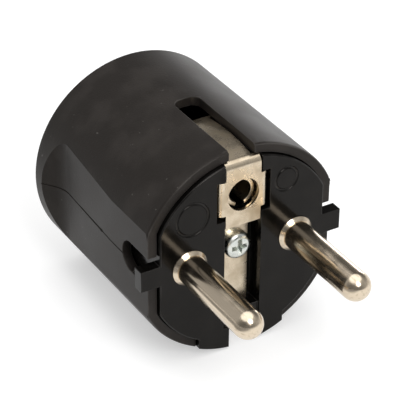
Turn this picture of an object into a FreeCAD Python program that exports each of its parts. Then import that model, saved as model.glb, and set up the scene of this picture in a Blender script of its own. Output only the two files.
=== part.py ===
import FreeCAD, Part
import math
import os
from types import SimpleNamespace

import Sketcher

# A rewirable mains plug with two round pins and an earth socket, in millimetres.
# The origin is the middle of the engagement face, between the two pins.
# +X points to the right pin, +Y to the back of the plug, +Z to the upper earth contact.
# The pins point to -Y.

doc = FreeCAD.newDocument("plug")

# Driving dimensions: name, value, meaning
SIZES = [
    ("pin_diameter", 4.8, "diameter of a line pin"),
    ("pin_length", 19.0, "length of a pin in front of the engagement face"),
    ("pin_spacing", 19.0, "distance between the two pins"),
    ("pin_collar_diameter", 6.0, "diameter of the thin collar where a pin leaves the face"),
    ("pin_collar_thickness", 0.7, "thickness of that collar"),
    ("pin_tail_length", 3.4, "length of the pin's tail, which is pressed into the terminal block"),
    ("earth_pin_diameter", 4.8, "diameter of the wall socket's earth pin"),
    ("earth_height", 10.0, "height of the earth socket above the line of the pins"),
    ("hood_radius", 18.0, "radius of the hood's round"),
    ("flat_depth", 1.7, "how far the hood's flats lie within its round"),
    ("hood_wall", 1.6, "wall of the hood at its mouth"),
    ("hood_setback", 0.8, "how far the hood's rim lies behind the engagement face"),
    ("hood_bevel", 0.5, "bevel around the hood's rim"),
    ("hood_end", 35.8, "distance from the engagement face to the hood's back"),
    ("hood_back_bevel", 0.9, "bevel around the hood's back"),
    ("grip_start", 12.0, "where the flats begin to turn inwards"),
    ("grip_depth", 0.7, "how far the flats turn inwards"),
    ("ridge_length", 6.4, "from the crease at the end of the flats to the hood's back"),
    ("ridge_angle", 36.0, "angle of the wall behind that crease, in degrees"),
    ("crease_blend", 1.6, "how far the crease is rounded to both sides"),
    ("rear_wall", 3.5, "thickness of the hood's back wall"),
    ("boss_front", 20.0, "where the hood's boss meets the carrier's sleeve"),
    ("boss_radius", 3.2, "radius of the boss and the sleeve"),
    ("inlet_diameter", 8.4, "diameter of the cord inlet"),
    ("inlet_web", 0.6, "material between the inlet and the boss"),
    ("inlet_lip_width", 1.5, "width of the lip around the inlet"),
    ("inlet_lip_height", 1.2, "height of that lip"),
    ("slot_width", 4.5, "width of the earth slot in the hood's top"),
    ("slot_end", 17.8, "back end of that slot"),
    ("slot_corner", 1.3, "rounding of that slot's back corners"),
    ("contact_recess", 2.0, "how far the earth contacts lie below the hood's round"),
    ("fit_clearance", 0.1, "clearance between the carrier and the hood"),
    ("carrier_edge", 0.15, "bevel around the carrier's face"),
    ("carrier_floor", 1.1, "material behind the earth socket's pocket"),
    ("tab_reach", 1.6, "how far a key tab stands out of the hood's flat"),
    ("tab_height", 3.6, "height of a key tab"),
    ("tab_depth", 2.0, "depth of a key tab"),
    ("tab_notch_end", 8.8, "back end of the hood's notch for a key tab"),
    ("tab_notch_rise", 1.4, "how far that notch reaches above the tab"),
    ("tab_gap", 0.15, "gap below a key tab in its notch"),
    ("foot_width", 15.4, "width across the carrier's two feet"),
    ("foot_gap", 4.4, "slot between the two feet"),
    ("foot_recess", 0.2, "how far the feet stay within the hood's round"),
    ("foot_length", 16.0, "length of the feet from the face"),
    ("sheet", 0.7, "thickness of the earth contacts' sheet"),
    ("bend", 0.6, "inner radius of the sheet's bends"),
    ("bow", 32.0, "radius of the bowed contact strips"),
    ("strip_gap", 0.3, "gap between a contact strip and its slot"),
    ("plate_width", 6.2, "width of the earth socket's front plate"),
    ("plate_recess", 0.1, "how far that plate lies behind the face"),
    ("plate_drop", 5.3, "from the earth socket's middle to the plate's lower edge"),
    ("plate_hole_gap", 0.3, "how much the plate's hole is larger in radius than the jaws"),
    ("ear_reach", 4.5, "half the width across the curled ears"),
    ("ear_height", 6.0, "height of the curled ears"),
    ("ear_round", 1.15, "outer radius of the curl"),
    ("jaw_clearance", 0.03, "clearance between the jaws and the wall socket's earth pin"),
    ("jaw_angle", 70.0, "angle that a jaw reaches above and below the middle, in degrees"),
    ("jaw_setback", 0.4, "gap between the front plate and the jaws"),
    ("jaw_length", 6.5, "length of the jaws"),
    ("pocket_gap", 0.2, "gap around the earth socket in its pocket"),
    ("pocket_drop", 0.8, "how far the pocket reaches below the curled ears"),
    ("channel_gap", 0.15, "gap beside the front plate in the carrier's channel"),
    ("strap_depth", 2.4, "depth of the earth strap below the face"),
    ("strap_width", 4.6, "width of the earth strap in the channel"),
    ("strap_overlap", 1.6, "how far the strap's end reaches up behind the plate"),
    ("strap_reach", 13.5, "back end of the lower contact strip"),
    ("joggle_angle", 45.0, "angle of the strap's offset, in degrees"),
    ("joggle_overlap", 0.4, "how far the strap's offset begins above the plate's lower edge"),
    ("bridge_drop", 1.5, "from the bridge over the strap down to the lower contact strip"),
    ("bridge_height", 2.8, "height of that bridge"),
    ("bridge_recess", 0.4, "how far the bridge lies below the face"),
    ("bridge_gap", 0.15, "gap between the bridge and the strap"),
    ("screw_diameter", 2.9, "diameter of the centre screw"),
    ("screw_head_diameter", 4.6, "diameter of its head"),
    ("screw_head_height", 1.6, "height of its head"),
    ("screw_head_edge", 0.4, "bevel around its head"),
    ("screw_length", 23.0, "length of the centre screw under its head"),
    ("screw_gap", 0.2, "gap around a screw in its clearance hole"),
    ("recess_width", 0.8, "width of a screw's drive recess"),
    ("recess_depth", 0.9, "depth of a screw's drive recess"),
    ("recess_length", 3.0, "length of the cross recess's arms, end to end"),
    ("thread_gap", 0.05, "gap between a screw's plain shank and its thread"),
    ("bush_wall", 0.8, "wall of the threaded bush"),
    ("bush_length", 6.0, "length of the threaded bush"),
    ("bush_well", 2.0, "hollow behind the bush for the screw's end"),
    ("press_gap", 0.02, "gap in a press fit"),
    ("block_width", 6.5, "width of a terminal block"),
    ("block_top", 5.0, "height of a terminal block above the pin's axis"),
    ("block_bottom", 3.4, "depth of a terminal block below the pin's axis"),
    ("block_length", 8.0, "length of a terminal block"),
    ("block_edge", 0.4, "bevel along a terminal block's edges"),
    ("block_floor", 0.5, "material between the pin's tail and the conductor's hole"),
    ("conductor_hole", 3.2, "diameter of the conductor's hole"),
    ("terminal_screw_diameter", 3.4, "diameter of a terminal screw"),
    ("terminal_head_diameter", 5.0, "diameter of its head"),
    ("terminal_head_height", 1.6, "height of its head"),
    ("terminal_screw_back", 2.3, "distance of the terminal screw from the block's back"),
    ("terminal_screw_stop", 0.6, "where a terminal screw ends above the pin's axis"),
    ("tower_depth", 5.5, "depth of the earth terminal's tower behind the carrier"),
    ("tower_width", 8.8, "width of that tower"),
    ("tower_margin", 0.7, "how far the tower reaches below the terminal's tab"),
    ("tab_screw_drop", 4.4, "from the contact strip down to the earth terminal's screw"),
    ("washer_size", 6.4, "side of the earth terminal's square washer"),
    ("washer_thickness", 1.2, "thickness of that washer"),
    ("washer_lip", 0.8, "height of the washer's two turned lips"),
    ("earth_screw_length", 6.0, "length of the earth terminal's screw under its head"),
    ("tongue_thickness", 1.8, "material of the carrier's tongue above the lower contact"),
    ("tongue_end", 25.0, "back end of that tongue"),
    ("tongue_gap", 0.5, "gap between the tongue and the hood"),
    ("clamp_gap", 0.4, "gap between the cord clamp and the boss"),
    ("clamp_thickness", 2.4, "thickness of the cord clamp"),
    ("clamp_width", 5.2, "width of the cord clamp"),
    ("clamp_back", 21.5, "distance of the cord clamp's screws from the face"),
    ("clamp_spread", 13.8, "distance between the cord clamp's screws"),
    ("clamp_saddle", 6.0, "radius of the hollow in the cord clamp's underside"),
    ("clamp_saddle_depth", 0.9, "depth of that hollow"),
    ("post_radius", 2.2, "radius of the posts under the cord clamp"),
    ("clamp_screw_diameter", 2.4, "diameter of a cord clamp screw"),
    ("clamp_head_diameter", 4.2, "diameter of its head"),
    ("clamp_head_height", 1.5, "height of its head"),
    ("clamp_screw_length", 8.0, "length of a cord clamp screw under its head"),
    ("clamp_screw_well", 0.6, "hollow below the end of a cord clamp screw"),
    ("overrun", 1.0, "how far a cut runs past the material"),
]


class Size:
    """A length with its value and with the expression that ties it to the sheet."""

    def __init__(self, value, text):
        self.value = value
        self.text = text

    def __add__(self, other):
        other = as_size(other)
        return Size(self.value + other.value, "(%s + %s)" % (self.text, other.text))

    def __sub__(self, other):
        other = as_size(other)
        return Size(self.value - other.value, "(%s - %s)" % (self.text, other.text))

    def __mul__(self, other):
        other = as_size(other)
        return Size(self.value * other.value, "(%s * %s)" % (self.text, other.text))

    def __truediv__(self, other):
        other = as_size(other)
        return Size(self.value / other.value, "(%s / %s)" % (self.text, other.text))

    def __neg__(self):
        return Size(-self.value, "(0 - %s)" % self.text)


def as_size(number):
    """Give a plain number the form of a size."""
    if isinstance(number, Size):
        return number
    return Size(float(number), repr(number))


def other_side(radius, reach):
    """Return how far a circle of this radius rises at this distance from its middle."""
    square = radius * radius - reach * reach
    return Size(math.sqrt(square.value), "sqrt(%s)" % square.text)


def ratio(function, angle):
    """Return the sine, cosine or tangent of an angle that is given in degrees."""
    value = getattr(math, function)(math.radians(angle.value))
    return Size(value, "%s(%s * 1 deg)" % (function, angle.text))


def fill_sheet():
    """Write the driving dimensions to the sheet and return them by name."""
    sheet = doc.addObject("Spreadsheet::Sheet", "Sizes")
    known = {}
    for row, (name, value, meaning) in enumerate(SIZES, start=1):
        sheet.set("A%d" % row, name)
        sheet.set("B%d" % row, str(value))
        sheet.set("C%d" % row, meaning)
        sheet.setAlias("B%d" % row, name)
        known[name] = Size(value, "Sizes." + name)
    doc.recompute()
    return SimpleNamespace(**known)


size = fill_sheet()

# Sketches and features


def bind(item, path, length):
    """Tie a property of a document object to the sheet."""
    item.setExpression(path, as_size(length).text)


def new_body(label):
    """Start a sub-part."""
    body = doc.addObject("PartDesign::Body", label)
    body.Label = label
    return body


def put(item, x=0, y=0, z=0):
    """Place a sub-part in the plug's frame."""
    for axis, length in zip("xyz", (x, y, z)):
        bind(item, "Placement.Base." + axis, length)


def new_sketch(body, name, plane, offset=0):
    """Start a sketch on one of the body's own planes, moved along the plane's normal."""
    sketch = body.newObject("Sketcher::SketchObject", name)
    support = [part for part in body.Origin.OriginFeatures if part.Role == plane]
    sketch.AttachmentSupport = [(support[0], "")]
    sketch.MapMode = "FlatFace"
    bind(sketch, "AttachmentOffset.Base.z", offset)
    return sketch


def face_sketch(body, name, depth=0):
    """Start a sketch seen from the front, X to the right and Z up, at this depth behind the face."""
    return new_sketch(body, name, "XZ_Plane", -as_size(depth))


def plan_sketch(body, name, height=0):
    """Start a sketch seen from above, X to the right and Y up, at this height."""
    return new_sketch(body, name, "XY_Plane", height)


def side_sketch(body, name):
    """Start a sketch in the plane of symmetry, Y to the right and Z up."""
    return new_sketch(body, name, "YZ_Plane")


def apply(sketch, constraints):
    """Add constraints, each a list of arguments with a size as the last one, tied to the sheet."""
    for constraint in constraints:
        last = constraint[-1]
        if not isinstance(last, Size):
            sketch.addConstraint(Sketcher.Constraint(*constraint))
            continue
        index = sketch.addConstraint(Sketcher.Constraint(*constraint[:-1], last.value))
        bind(sketch, "Constraints[%d]" % index, last)


def at(geometry, position, x, y):
    """Return the constraints that put a point of the geometry at x, y."""
    constraints = []
    for kind, axis, length in (("DistanceX", -2, as_size(x)), ("DistanceY", -1, as_size(y))):
        if length.text == "0":
            constraints.append(["PointOnObject", geometry, position, axis])
        else:
            constraints.append([kind, -1, 1, geometry, position, length])
    return constraints


def outline(sketch, corners):
    """Draw a closed outline.

    A corner is (x, y) where a straight edge follows, or (x, y, radius, turn) where an arc follows
    that turns to the left (1) or to the right (-1).
    """
    constraints = []
    ends = []
    for number, corner in enumerate(corners):
        following = corners[(number + 1) % len(corners)]
        start = FreeCAD.Vector(as_size(corner[0]).value, as_size(corner[1]).value, 0)
        end = FreeCAD.Vector(as_size(following[0]).value, as_size(following[1]).value, 0)
        if len(corner) == 2:
            edge = sketch.addGeometry(Part.LineSegment(start, end))
            ends.append((edge, 1, 2))
            continue
        radius = as_size(corner[2])
        turn = corner[3]
        chord = end - start
        rise = math.sqrt(max(radius.value ** 2 - chord.Length ** 2 / 4, 0))
        left = FreeCAD.Vector(-chord.y, chord.x, 0).normalize()
        middle = (start + end) * 0.5 + left * rise * turn
        first, last = (start, end) if turn > 0 else (end, start)
        angles = [math.atan2(point.y - middle.y, point.x - middle.x) for point in (first, last)]
        circle = Part.Circle(middle, FreeCAD.Vector(0, 0, 1), radius.value)
        edge = sketch.addGeometry(Part.ArcOfCircle(circle, angles[0], angles[1]))
        ends.append((edge, 1, 2) if turn > 0 else (edge, 2, 1))
        constraints.append(["Radius", edge, radius])
    joints = []
    for number, (edge, start, end) in enumerate(ends):
        following = ends[(number + 1) % len(ends)]
        joints.append(["Coincident", edge, end, following[0], following[1]])
        joints.extend(at(edge, start, corners[number][0], corners[number][1]))
    apply(sketch, joints + constraints)


def ring(sketch, radius, x=0, y=0):
    """Draw a circle."""
    middle = FreeCAD.Vector(as_size(x).value, as_size(y).value, 0)
    edge = sketch.addGeometry(Part.Circle(middle, FreeCAD.Vector(0, 0, 1), as_size(radius).value))
    apply(sketch, at(edge, 3, x, y) + [["Radius", edge, as_size(radius)]])


def box(sketch, left, right, bottom, top):
    """Draw a rectangle."""
    outline(sketch, [(left, bottom), (right, bottom), (right, top), (left, top)])


def barrel(sketch, radius, flat):
    """Draw a round with a flat on each side."""
    corner = other_side(radius, flat)
    outline(sketch, [
        (flat, -corner),
        (flat, corner, radius, 1),
        (-flat, corner),
        (-flat, -corner, radius, 1),
    ])


def pad(body, sketch, length, backwards=False, both=False):
    """Add material along the sketch's normal, against it, or to both sides."""
    feature = body.newObject("PartDesign::Pad", sketch.Name + "_pad")
    feature.Profile = sketch
    feature.Reversed = backwards
    feature.SideType = "Symmetric" if both else "One side"
    bind(feature, "Length", length)
    doc.recompute()
    return feature


def cut(body, sketch, length, backwards=False, both=False):
    """Remove material against the sketch's normal, along it, or to both sides."""
    before = body.Shape.Volume
    feature = body.newObject("PartDesign::Pocket", sketch.Name + "_cut")
    feature.Profile = sketch
    feature.Reversed = backwards
    feature.SideType = "Symmetric" if both else "One side"
    bind(feature, "Length", length)
    doc.recompute()
    if not body.Shape.Volume < before:
        raise RuntimeError("nothing was cut by " + feature.Name)
    return feature


def turn(body, sketch, axis):
    """Turn a half section once around an axis of its sketch."""
    feature = body.newObject("PartDesign::Revolution", sketch.Name + "_turn")
    feature.Profile = sketch
    feature.ReferenceAxis = (sketch, [axis])
    feature.Angle = 360
    doc.recompute()
    return feature


def dress(body, kind, size_name, length, wanted):
    """Round or bevel the edges of the body's last feature that are wanted."""
    base = body.Tip
    edges = ["Edge%d" % number for number, edge in enumerate(base.Shape.Edges, start=1) if wanted(edge)]
    feature = body.newObject("PartDesign::" + kind, "%s_%s" % (body.Name, kind.lower()))
    feature.Base = (base, edges)
    bind(feature, size_name, length)
    doc.recompute()
    return feature


# Places that several pieces share

half_spacing = size.pin_spacing / 2
cavity_radius = size.hood_radius - size.hood_wall
hood_flat = size.hood_radius - size.flat_depth
cavity_flat = hood_flat - size.hood_wall
strip_top = size.hood_radius - size.contact_recess
strip_under = strip_top - size.sheet
bend_out = size.bend + size.sheet
plate_back = size.plate_recess + size.sheet
plate_half = size.plate_width / 2
plate_bottom = size.earth_height - size.plate_drop
strap_back = size.strap_depth + size.sheet
ear_web_back = size.plate_recess + size.ear_round * 2
ear_web_front = ear_web_back - size.sheet
jaw_radius = size.earth_pin_diameter / 2 + size.jaw_clearance
jaw_front = plate_back + size.jaw_setback
jaw_end = jaw_front + size.jaw_length
pocket_depth = jaw_end + size.pocket_gap
carrier_depth = pocket_depth + size.carrier_floor
ear_half = size.ear_height / 2
strip_half = size.slot_width / 2 - size.strip_gap
tower_end = carrier_depth + size.tower_depth
earth_screw_height = strip_under - size.tab_screw_drop
earth_tab_bottom = earth_screw_height - size.washer_size / 2
tongue_top = -(strip_under - size.tongue_thickness)
clamp_top = -(size.boss_radius + size.clamp_gap)
clamp_under = clamp_top - size.clamp_thickness
foot_half = size.foot_width / 2
bridge_bottom = strip_under - size.bridge_drop
bridge_top = bridge_bottom - size.bridge_height
bush_radius = size.screw_diameter / 2 + size.thread_gap + size.bush_wall
inlet_height = -(size.boss_radius + size.inlet_web + size.inlet_diameter / 2)
bolt_hole = size.screw_diameter / 2 + size.screw_gap
tab_half = size.tab_height / 2


def make_hood():
    """The hood: one moulding, round with two flats that end in a round ridge at the back."""
    body = new_body("hood")
    profile = side_sketch(body, "hood_profile")
    outline(profile, [
        (size.hood_setback, 0),
        (size.hood_end, 0),
        (size.hood_end, size.hood_radius - size.hood_back_bevel),
        (size.hood_end - size.hood_back_bevel, size.hood_radius),
        (size.hood_setback + size.hood_bevel, size.hood_radius),
        (size.hood_setback, size.hood_radius - size.hood_bevel),
    ])
    turn(body, profile, "H_Axis")

    grips = plan_sketch(body, "hood_grips")
    outside = size.hood_radius + size.overrun
    front = size.hood_setback - size.overrun
    crease = size.hood_end - size.ridge_length
    bottom = hood_flat - size.grip_depth
    blend = size.crease_blend
    blend_radius = blend / ratio("tan", size.ridge_angle / 2)
    blend_out = bottom + blend * ratio("sin", size.ridge_angle)
    blend_end = crease + blend * ratio("cos", size.ridge_angle)
    ridge = crease + (outside - bottom) / ratio("tan", size.ridge_angle)
    for side in (1, -1):
        outline(grips, [
            (hood_flat * side, front),
            (hood_flat * side, size.grip_start),
            (bottom * side, crease - blend, blend_radius, -side),
            (blend_out * side, blend_end),
            (outside * side, ridge),
            (outside * side, front),
        ])
    cut(body, grips, size.hood_radius * 2, both=True)

    mouth = face_sketch(body, "hood_mouth", size.hood_setback)
    barrel(mouth, cavity_radius, cavity_flat)
    inner_end = size.hood_end - size.rear_wall
    cut(body, mouth, inner_end - size.hood_setback)

    boss = face_sketch(body, "hood_boss", size.boss_front)
    ring(boss, size.boss_radius)
    pad(body, boss, inner_end - size.boss_front, backwards=True)
    well = face_sketch(body, "hood_bush_well", size.boss_front)
    ring(well, bush_radius + size.press_gap)
    cut(body, well, size.bush_length + size.bush_well)

    lip = face_sketch(body, "hood_inlet_lip", inner_end)
    ring(lip, size.inlet_diameter / 2 + size.inlet_lip_width, 0, inlet_height)
    pad(body, lip, size.rear_wall + size.inlet_lip_height, backwards=True)
    inlet = face_sketch(body, "hood_inlet", inner_end - size.overrun)
    ring(inlet, size.inlet_diameter / 2, 0, inlet_height)
    cut(body, inlet, size.rear_wall + size.inlet_lip_height + size.overrun * 2)

    slot = plan_sketch(body, "hood_slot", size.hood_radius / 2)
    half = size.slot_width / 2
    corner = size.slot_corner
    outline(slot, [
        (-half, front),
        (half, front),
        (half, size.slot_end - corner, corner, 1),
        (half - corner, size.slot_end),
        (corner - half, size.slot_end, corner, 1),
        (-half, size.slot_end - corner),
    ])
    cut(body, slot, size.hood_radius, backwards=True)

    foot_notch = plan_sketch(body, "hood_foot_notch", -size.hood_radius / 2)
    reach = foot_half + size.fit_clearance
    box(foot_notch, -reach, reach, front, size.foot_length + size.fit_clearance)
    cut(body, foot_notch, size.hood_radius)

    tab_notch = side_sketch(body, "hood_tab_notch")
    notch_low = -(tab_half + size.tab_gap)
    notch_top = tab_half + size.tab_notch_rise
    notch_round = (notch_top - notch_low) / 2
    notch_straight = size.tab_notch_end - notch_round
    outline(tab_notch, [
        (front, notch_low),
        (notch_straight, notch_low, notch_round, 1),
        (size.tab_notch_end, notch_low + notch_round, notch_round, 1),
        (notch_straight, notch_top),
        (front, notch_top),
    ])
    cut(body, tab_notch, size.hood_radius * 2, both=True)
    return body


def make_pin_carrier():
    """The pin carrier: the moulded insert with its key tabs, feet, terminal tower and cord tongue."""
    body = new_body("pin_carrier")
    front = -size.overrun
    radius = cavity_radius - size.fit_clearance
    flat = cavity_flat - size.fit_clearance
    block = face_sketch(body, "carrier_block")
    barrel(block, radius, flat)
    pad(body, block, carrier_depth, backwards=True)

    def face_edge(edge):
        return abs(edge.BoundBox.YMax) < size.press_gap.value
    dress(body, "Chamfer", "Size", size.carrier_edge, face_edge)

    tabs = face_sketch(body, "carrier_tabs")
    box(tabs, -(hood_flat + size.tab_reach), hood_flat + size.tab_reach, -tab_half, tab_half)
    pad(body, tabs, size.tab_depth, backwards=True)

    feet = face_sketch(body, "carrier_feet")
    foot_radius = size.hood_radius - size.foot_recess
    foot_corner = -other_side(foot_radius, foot_half)
    outline(feet, [
        (-foot_half, tongue_top),
        (-foot_half, foot_corner, foot_radius, 1),
        (foot_half, foot_corner),
        (foot_half, tongue_top),
    ])
    pad(body, feet, size.foot_length, backwards=True)

    tongue = face_sketch(body, "carrier_tongue", carrier_depth - size.carrier_floor)
    tongue_radius = cavity_radius - size.tongue_gap
    tongue_half = other_side(tongue_radius, tongue_top)
    outline(tongue, [(-tongue_half, tongue_top, tongue_radius, 1), (tongue_half, tongue_top)])
    pad(body, tongue, size.tongue_end - carrier_depth + size.carrier_floor, backwards=True)

    posts = plan_sketch(body, "carrier_posts", tongue_top)
    for side in (1, -1):
        ring(posts, size.post_radius, size.clamp_spread / 2 * side, size.clamp_back)
    pad(body, posts, clamp_under - tongue_top)

    sleeve = face_sketch(body, "carrier_sleeve", carrier_depth)
    ring(sleeve, size.boss_radius)
    pad(body, sleeve, size.boss_front - carrier_depth, backwards=True)

    tower = side_sketch(body, "carrier_tower")
    outline(tower, [
        (pocket_depth, earth_tab_bottom - size.tower_margin),
        (tower_end, earth_tab_bottom - size.tower_margin),
        (tower_end, strip_under - size.bend),
        (tower_end - size.bend, strip_under),
        (pocket_depth, strip_under),
    ])
    pad(body, tower, size.tower_width, both=True)

    pocket_half = size.ear_reach + size.pocket_gap
    pocket_low = size.earth_height - ear_half - size.pocket_drop
    pocket_high = size.earth_height + ear_half + size.pocket_gap
    socket = face_sketch(body, "carrier_socket_pocket")
    box(socket, -pocket_half, pocket_half, pocket_low, pocket_high)
    cut(body, socket, pocket_depth)

    channel_half = plate_half + size.channel_gap
    channel = face_sketch(body, "carrier_channel")
    box(channel, -channel_half, channel_half, -bridge_top, pocket_low + size.overrun)
    cut(body, channel, strap_back)
    head_way = face_sketch(body, "carrier_lip_way")
    box(head_way, -channel_half, channel_half, pocket_high - size.overrun, size.hood_radius)
    cut(body, head_way, plate_back + size.bend + size.channel_gap)
    groove_half = size.slot_width / 2
    strip_way = face_sketch(body, "carrier_strip_way")
    box(strip_way, -groove_half, groove_half, strip_under, size.hood_radius)
    cut(body, strip_way, tower_end)

    bridge = face_sketch(body, "carrier_bridge")
    box(bridge, -channel_half, channel_half, -bridge_bottom, size.overrun - bridge_top)
    cut(body, bridge, size.bridge_recess)
    tunnel = face_sketch(body, "carrier_tunnel", size.strap_depth - size.bridge_gap)
    tunnel_half = size.strap_width / 2 + size.channel_gap
    box(tunnel, -tunnel_half, tunnel_half, -bridge_bottom, size.overrun - bridge_top)
    cut(body, tunnel, size.sheet + size.bridge_gap)
    foot_slot = face_sketch(body, "carrier_foot_slot")
    slot_half = size.foot_gap / 2
    box(foot_slot, -slot_half, slot_half, -size.hood_radius, -strip_under)
    cut(body, foot_slot, size.foot_length + size.overrun)
    bend_way = face_sketch(body, "carrier_bend_way")
    box(bend_way, -slot_half, slot_half, -size.hood_radius, -bridge_bottom)
    cut(body, bend_way, strap_back + size.bend)

    bores = face_sketch(body, "carrier_pin_bores", front)
    for side in (1, -1):
        ring(bores, size.pin_diameter / 2 + size.press_gap, half_spacing * side, 0)
    cut(body, bores, carrier_depth + size.overrun * 2)
    bolt = face_sketch(body, "carrier_bolt_hole", front)
    ring(bolt, bolt_hole)
    cut(body, bolt, size.boss_front + size.overrun * 2)
    earth_bore = face_sketch(body, "carrier_earth_bore", tower_end)
    ring(earth_bore, size.terminal_screw_diameter / 2 + size.screw_gap, 0, earth_screw_height)
    cut(body, earth_bore, size.tower_depth - size.carrier_floor, backwards=True)
    cores = plan_sketch(body, "carrier_clamp_cores", clamp_under)
    for side in (1, -1):
        core = size.clamp_screw_diameter / 2 + size.press_gap
        ring(cores, core, size.clamp_spread / 2 * side, size.clamp_back)
    cut(body, cores, size.clamp_screw_length - size.clamp_thickness + size.clamp_screw_well)
    return body


def make_pin(label, side):
    """A line pin: turned, with a round end, a thin collar in front and a tail for its terminal."""
    body = new_body(label)
    radius = size.pin_diameter / 2
    collar = size.pin_collar_diameter / 2
    tail_end = carrier_depth + size.pin_tail_length
    profile = plan_sketch(body, label + "_profile")
    outline(profile, [
        (0, -size.pin_length, radius, 1),
        (radius, radius - size.pin_length),
        (radius, -size.pin_collar_thickness),
        (collar, -size.pin_collar_thickness),
        (collar, 0),
        (radius, 0),
        (radius, tail_end),
        (0, tail_end),
    ])
    turn(body, profile, "V_Axis")
    put(body, x=half_spacing * side)
    return body


def make_earth_contact():
    """The upper earth contact: one folded sheet, from the terminal's tab to the socket's curled jaws."""
    body = new_body("earth_contact")
    tab_back = tower_end + size.sheet
    bow_front = plate_back + size.bend
    bow_back = tower_end - size.bend
    fold = side_sketch(body, "contact_fold")
    outline(fold, [
        (size.plate_recess, plate_bottom),
        (plate_back, plate_bottom),
        (plate_back, strip_under - size.bend, size.bend, -1),
        (bow_front, strip_under, size.bow, -1),
        (bow_back, strip_under, size.bend, -1),
        (tower_end, strip_under - size.bend),
        (tower_end, earth_tab_bottom),
        (tab_back, earth_tab_bottom),
        (tab_back, strip_under - size.bend, bend_out, 1),
        (bow_back, strip_top, size.bow + size.sheet, 1),
        (bow_front, strip_top, bend_out, 1),
        (size.plate_recess, strip_under - size.bend),
    ])
    pad(body, fold, size.plate_width, both=True)

    waist = plan_sketch(body, "contact_waist", strip_under - size.bend)
    for side in (1, -1):
        inner = strip_half * side
        outer = (plate_half + size.overrun) * side
        outline(waist, [
            (inner, bow_front),
            (outer, bow_front),
            (outer, bow_back),
            (inner, bow_back),
        ])
    cut(body, waist, size.hood_radius, backwards=True)

    ears = plan_sketch(body, "contact_ears", size.earth_height - ear_half)
    ear_middle = size.ear_reach - size.ear_round
    inner_round = size.ear_round - size.sheet
    web_inner = jaw_radius + size.sheet / 2
    for side in (1, -1):
        outline(ears, [
            ((plate_half - size.sheet) * side, size.plate_recess),
            (ear_middle * side, size.plate_recess, size.ear_round, side),
            (size.ear_reach * side, size.plate_recess + size.ear_round, size.ear_round, side),
            (ear_middle * side, ear_web_back),
            (web_inner * side, ear_web_back),
            (web_inner * side, ear_web_front),
            (ear_middle * side, ear_web_front, inner_round, -side),
            ((ear_middle + inner_round) * side, size.plate_recess + size.ear_round, inner_round, -side),
            (ear_middle * side, plate_back),
            ((plate_half - size.sheet) * side, plate_back),
        ])
    pad(body, ears, size.ear_height)

    hole = face_sketch(body, "contact_hole", -size.overrun)
    ring(hole, jaw_radius + size.plate_hole_gap, 0, size.earth_height)
    cut(body, hole, plate_back + size.overrun)

    jaws = face_sketch(body, "contact_jaws", jaw_front)
    across = ratio("cos", size.jaw_angle)
    along = ratio("sin", size.jaw_angle)
    jaw_out = jaw_radius + size.sheet
    for side in (1, -1):
        outline(jaws, [
            (jaw_out * across * side, size.earth_height - jaw_out * along, jaw_out, side),
            (jaw_out * side, size.earth_height, jaw_out, side),
            (jaw_out * across * side, size.earth_height + jaw_out * along),
            (jaw_radius * across * side, size.earth_height + jaw_radius * along, jaw_radius, -side),
            (jaw_radius * side, size.earth_height, jaw_radius, -side),
            (jaw_radius * across * side, size.earth_height - jaw_radius * along),
        ])
    pad(body, jaws, size.jaw_length, backwards=True)

    bore = face_sketch(body, "contact_screw_hole", tower_end - size.overrun)
    ring(bore, size.terminal_screw_diameter / 2 + size.thread_gap, 0, earth_screw_height)
    cut(body, bore, size.sheet + size.overrun * 2)
    return body


def make_earth_strap():
    """The lower earth contact: one folded strip, from behind the front plate down to the lower slot."""
    body = new_body("earth_strap")
    top = plate_bottom + size.strap_overlap
    step = size.strap_depth - plate_back
    step_top = plate_bottom + size.joggle_overlap
    step_low = step_top - step / ratio("tan", size.joggle_angle)
    slack = size.sheet * ratio("tan", size.joggle_angle / 2)
    bow_front = strap_back + size.bend
    fold = side_sketch(body, "strap_fold")
    outline(fold, [
        (plate_back, top),
        (plate_back, step_top),
        (size.strap_depth, step_low),
        (size.strap_depth, size.bend - strip_under, bend_out, 1),
        (bow_front, -strip_top, size.bow + size.sheet, 1),
        (size.strap_reach, -strip_top),
        (size.strap_reach, -strip_under, size.bow, -1),
        (bow_front, -strip_under, size.bend, -1),
        (strap_back, size.bend - strip_under),
        (strap_back, step_low + slack),
        (plate_back + size.sheet, step_top + slack),
        (plate_back + size.sheet, top),
    ])
    pad(body, fold, size.strap_width, both=True)

    waist = face_sketch(body, "strap_waist", -size.overrun)
    for side in (1, -1):
        inner = strip_half * side
        outer = (size.strap_width / 2 + size.overrun) * side
        outline(waist, [
            (inner, -size.hood_radius),
            (outer, -size.hood_radius),
            (outer, size.channel_gap - bridge_bottom),
            (inner, size.channel_gap - bridge_bottom),
        ])
    cut(body, waist, size.strap_reach + size.overrun * 2)

    hole = face_sketch(body, "strap_hole")
    ring(hole, bolt_hole)
    cut(body, hole, strap_back + size.overrun)
    return body


def screw_profile(body, head_diameter, head_height, diameter, length):
    """Turn a screw whose head stands on the middle of its own frame and points to +Z."""
    head = head_diameter / 2
    radius = diameter / 2
    profile = side_sketch(body, body.Name + "_profile")
    outline(profile, [
        (0, -length),
        (radius, -length),
        (radius, 0),
        (head, 0),
        (head, head_height),
        (0, head_height),
    ])
    turn(body, profile, "V_Axis")


def screw_slots(body, arms, head_height):
    """Cut the drive recess of a screw: one arm makes a slot, two make a cross."""
    for number, (across, along) in enumerate(arms):
        recess = plan_sketch(body, "%s_recess_%d" % (body.Name, number), head_height)
        box(recess, -across / 2, across / 2, -along / 2, along / 2)
        cut(body, recess, size.recess_depth)


def make_slotted_screw(label, head_diameter, head_height, diameter, length):
    """A slotted screw in its own frame, its head towards +Z."""
    body = new_body(label)
    screw_profile(body, head_diameter, head_height, diameter, length)
    screw_slots(body, [(size.recess_width, head_diameter + size.overrun)], head_height)
    return body


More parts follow.
